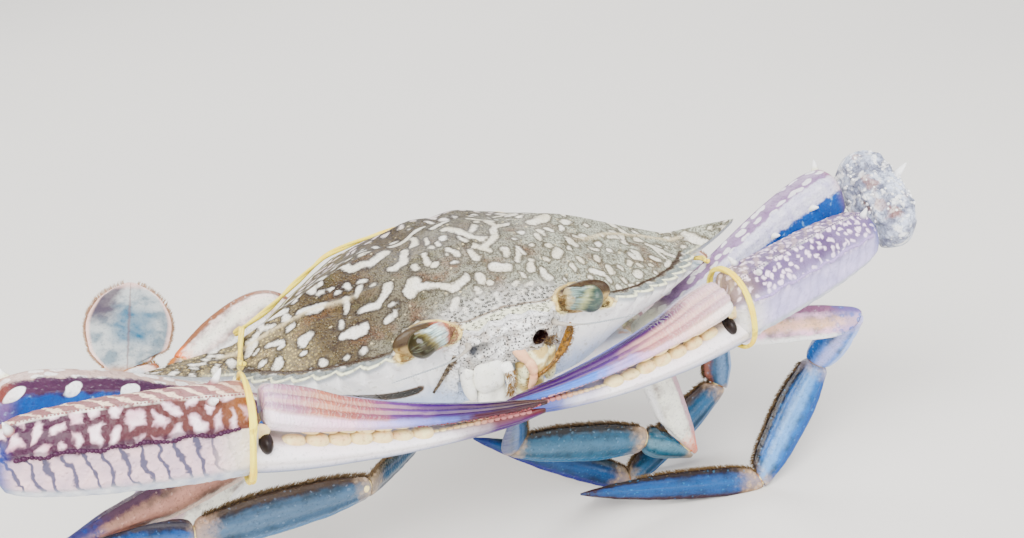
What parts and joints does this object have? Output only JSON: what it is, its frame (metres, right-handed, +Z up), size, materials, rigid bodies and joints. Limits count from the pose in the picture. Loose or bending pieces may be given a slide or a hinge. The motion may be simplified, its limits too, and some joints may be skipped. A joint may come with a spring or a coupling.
{
  "type": "blue swimming crab",
  "caption": "Adult male blue swimming crab with long banded claws crossed before its mouth, a pale-spotted olive shell with side spines, blue legs and paddle-shaped hind legs.",
  "frame": {"origin": "on the floor, under the middle of the whole animal's box", "axes": "+Z up, +X to the crab's left, -Y the way it faces"},
  "size_m": [0.2558, 0.1142, 0.1025],
  "materials": {
    "shell": "finely granular, olive-grey with cream spots",
    "belly": "smooth, white with bluish shading",
    "claw": "ribbed and granular, purple-brown net on cream",
    "leg": "smooth, blue with brown hair fringes",
    "paddle": "smooth, grey-white and teal",
    "eye": "polished",
    "band": "soft satin"
  },
  "bodies": {
    "root": {"carapace": "shell", "face": "belly", "thorax": "belly", "abdomen": "belly", "back_band": "band", "left_eye": "eye", "left_maxilliped": "belly", "left_antenna": "belly", "left_claw_merus": "claw", "left_claw_carpus": "claw", "left_claw_palm": "claw", "left_claw_finger": "claw", "left_claw_band": "band", "left_leg2_merus": "leg", "left_leg2_carpus": "leg", "left_leg2_propodus": "leg", "left_leg2_dactyl": "leg", "left_leg3_merus": "leg", "left_leg3_carpus": "leg", "left_leg3_propodus": "leg", "left_leg3_dactyl": "leg", "left_leg4_merus": "leg", "left_leg4_carpus": "leg", "left_leg4_propodus": "leg", "left_leg4_dactyl": "leg", "left_leg5_merus": "paddle", "left_leg5_carpus": "paddle", "left_leg5_propodus": "paddle", "left_leg5_paddle": "paddle", "right_eye": "eye", "right_maxilliped": "belly", "right_antenna": "belly", "right_claw_merus": "claw", "right_claw_carpus": "claw", "right_claw_palm": "claw", "right_claw_finger": "claw", "right_claw_band": "band", "right_leg2_merus": "leg", "right_leg2_carpus": "leg", "right_leg2_propodus": "leg", "right_leg2_dactyl": "leg", "right_leg3_merus": "leg", "right_leg3_carpus": "leg", "right_leg3_propodus": "leg", "right_leg3_dactyl": "leg", "right_leg4_merus": "leg", "right_leg4_carpus": "leg", "right_leg4_propodus": "leg", "right_leg4_dactyl": "leg", "right_leg5_merus": "paddle", "right_leg5_carpus": "paddle", "right_leg5_propodus": "paddle", "right_leg5_paddle": "paddle"}
  },
  "joints": []
}
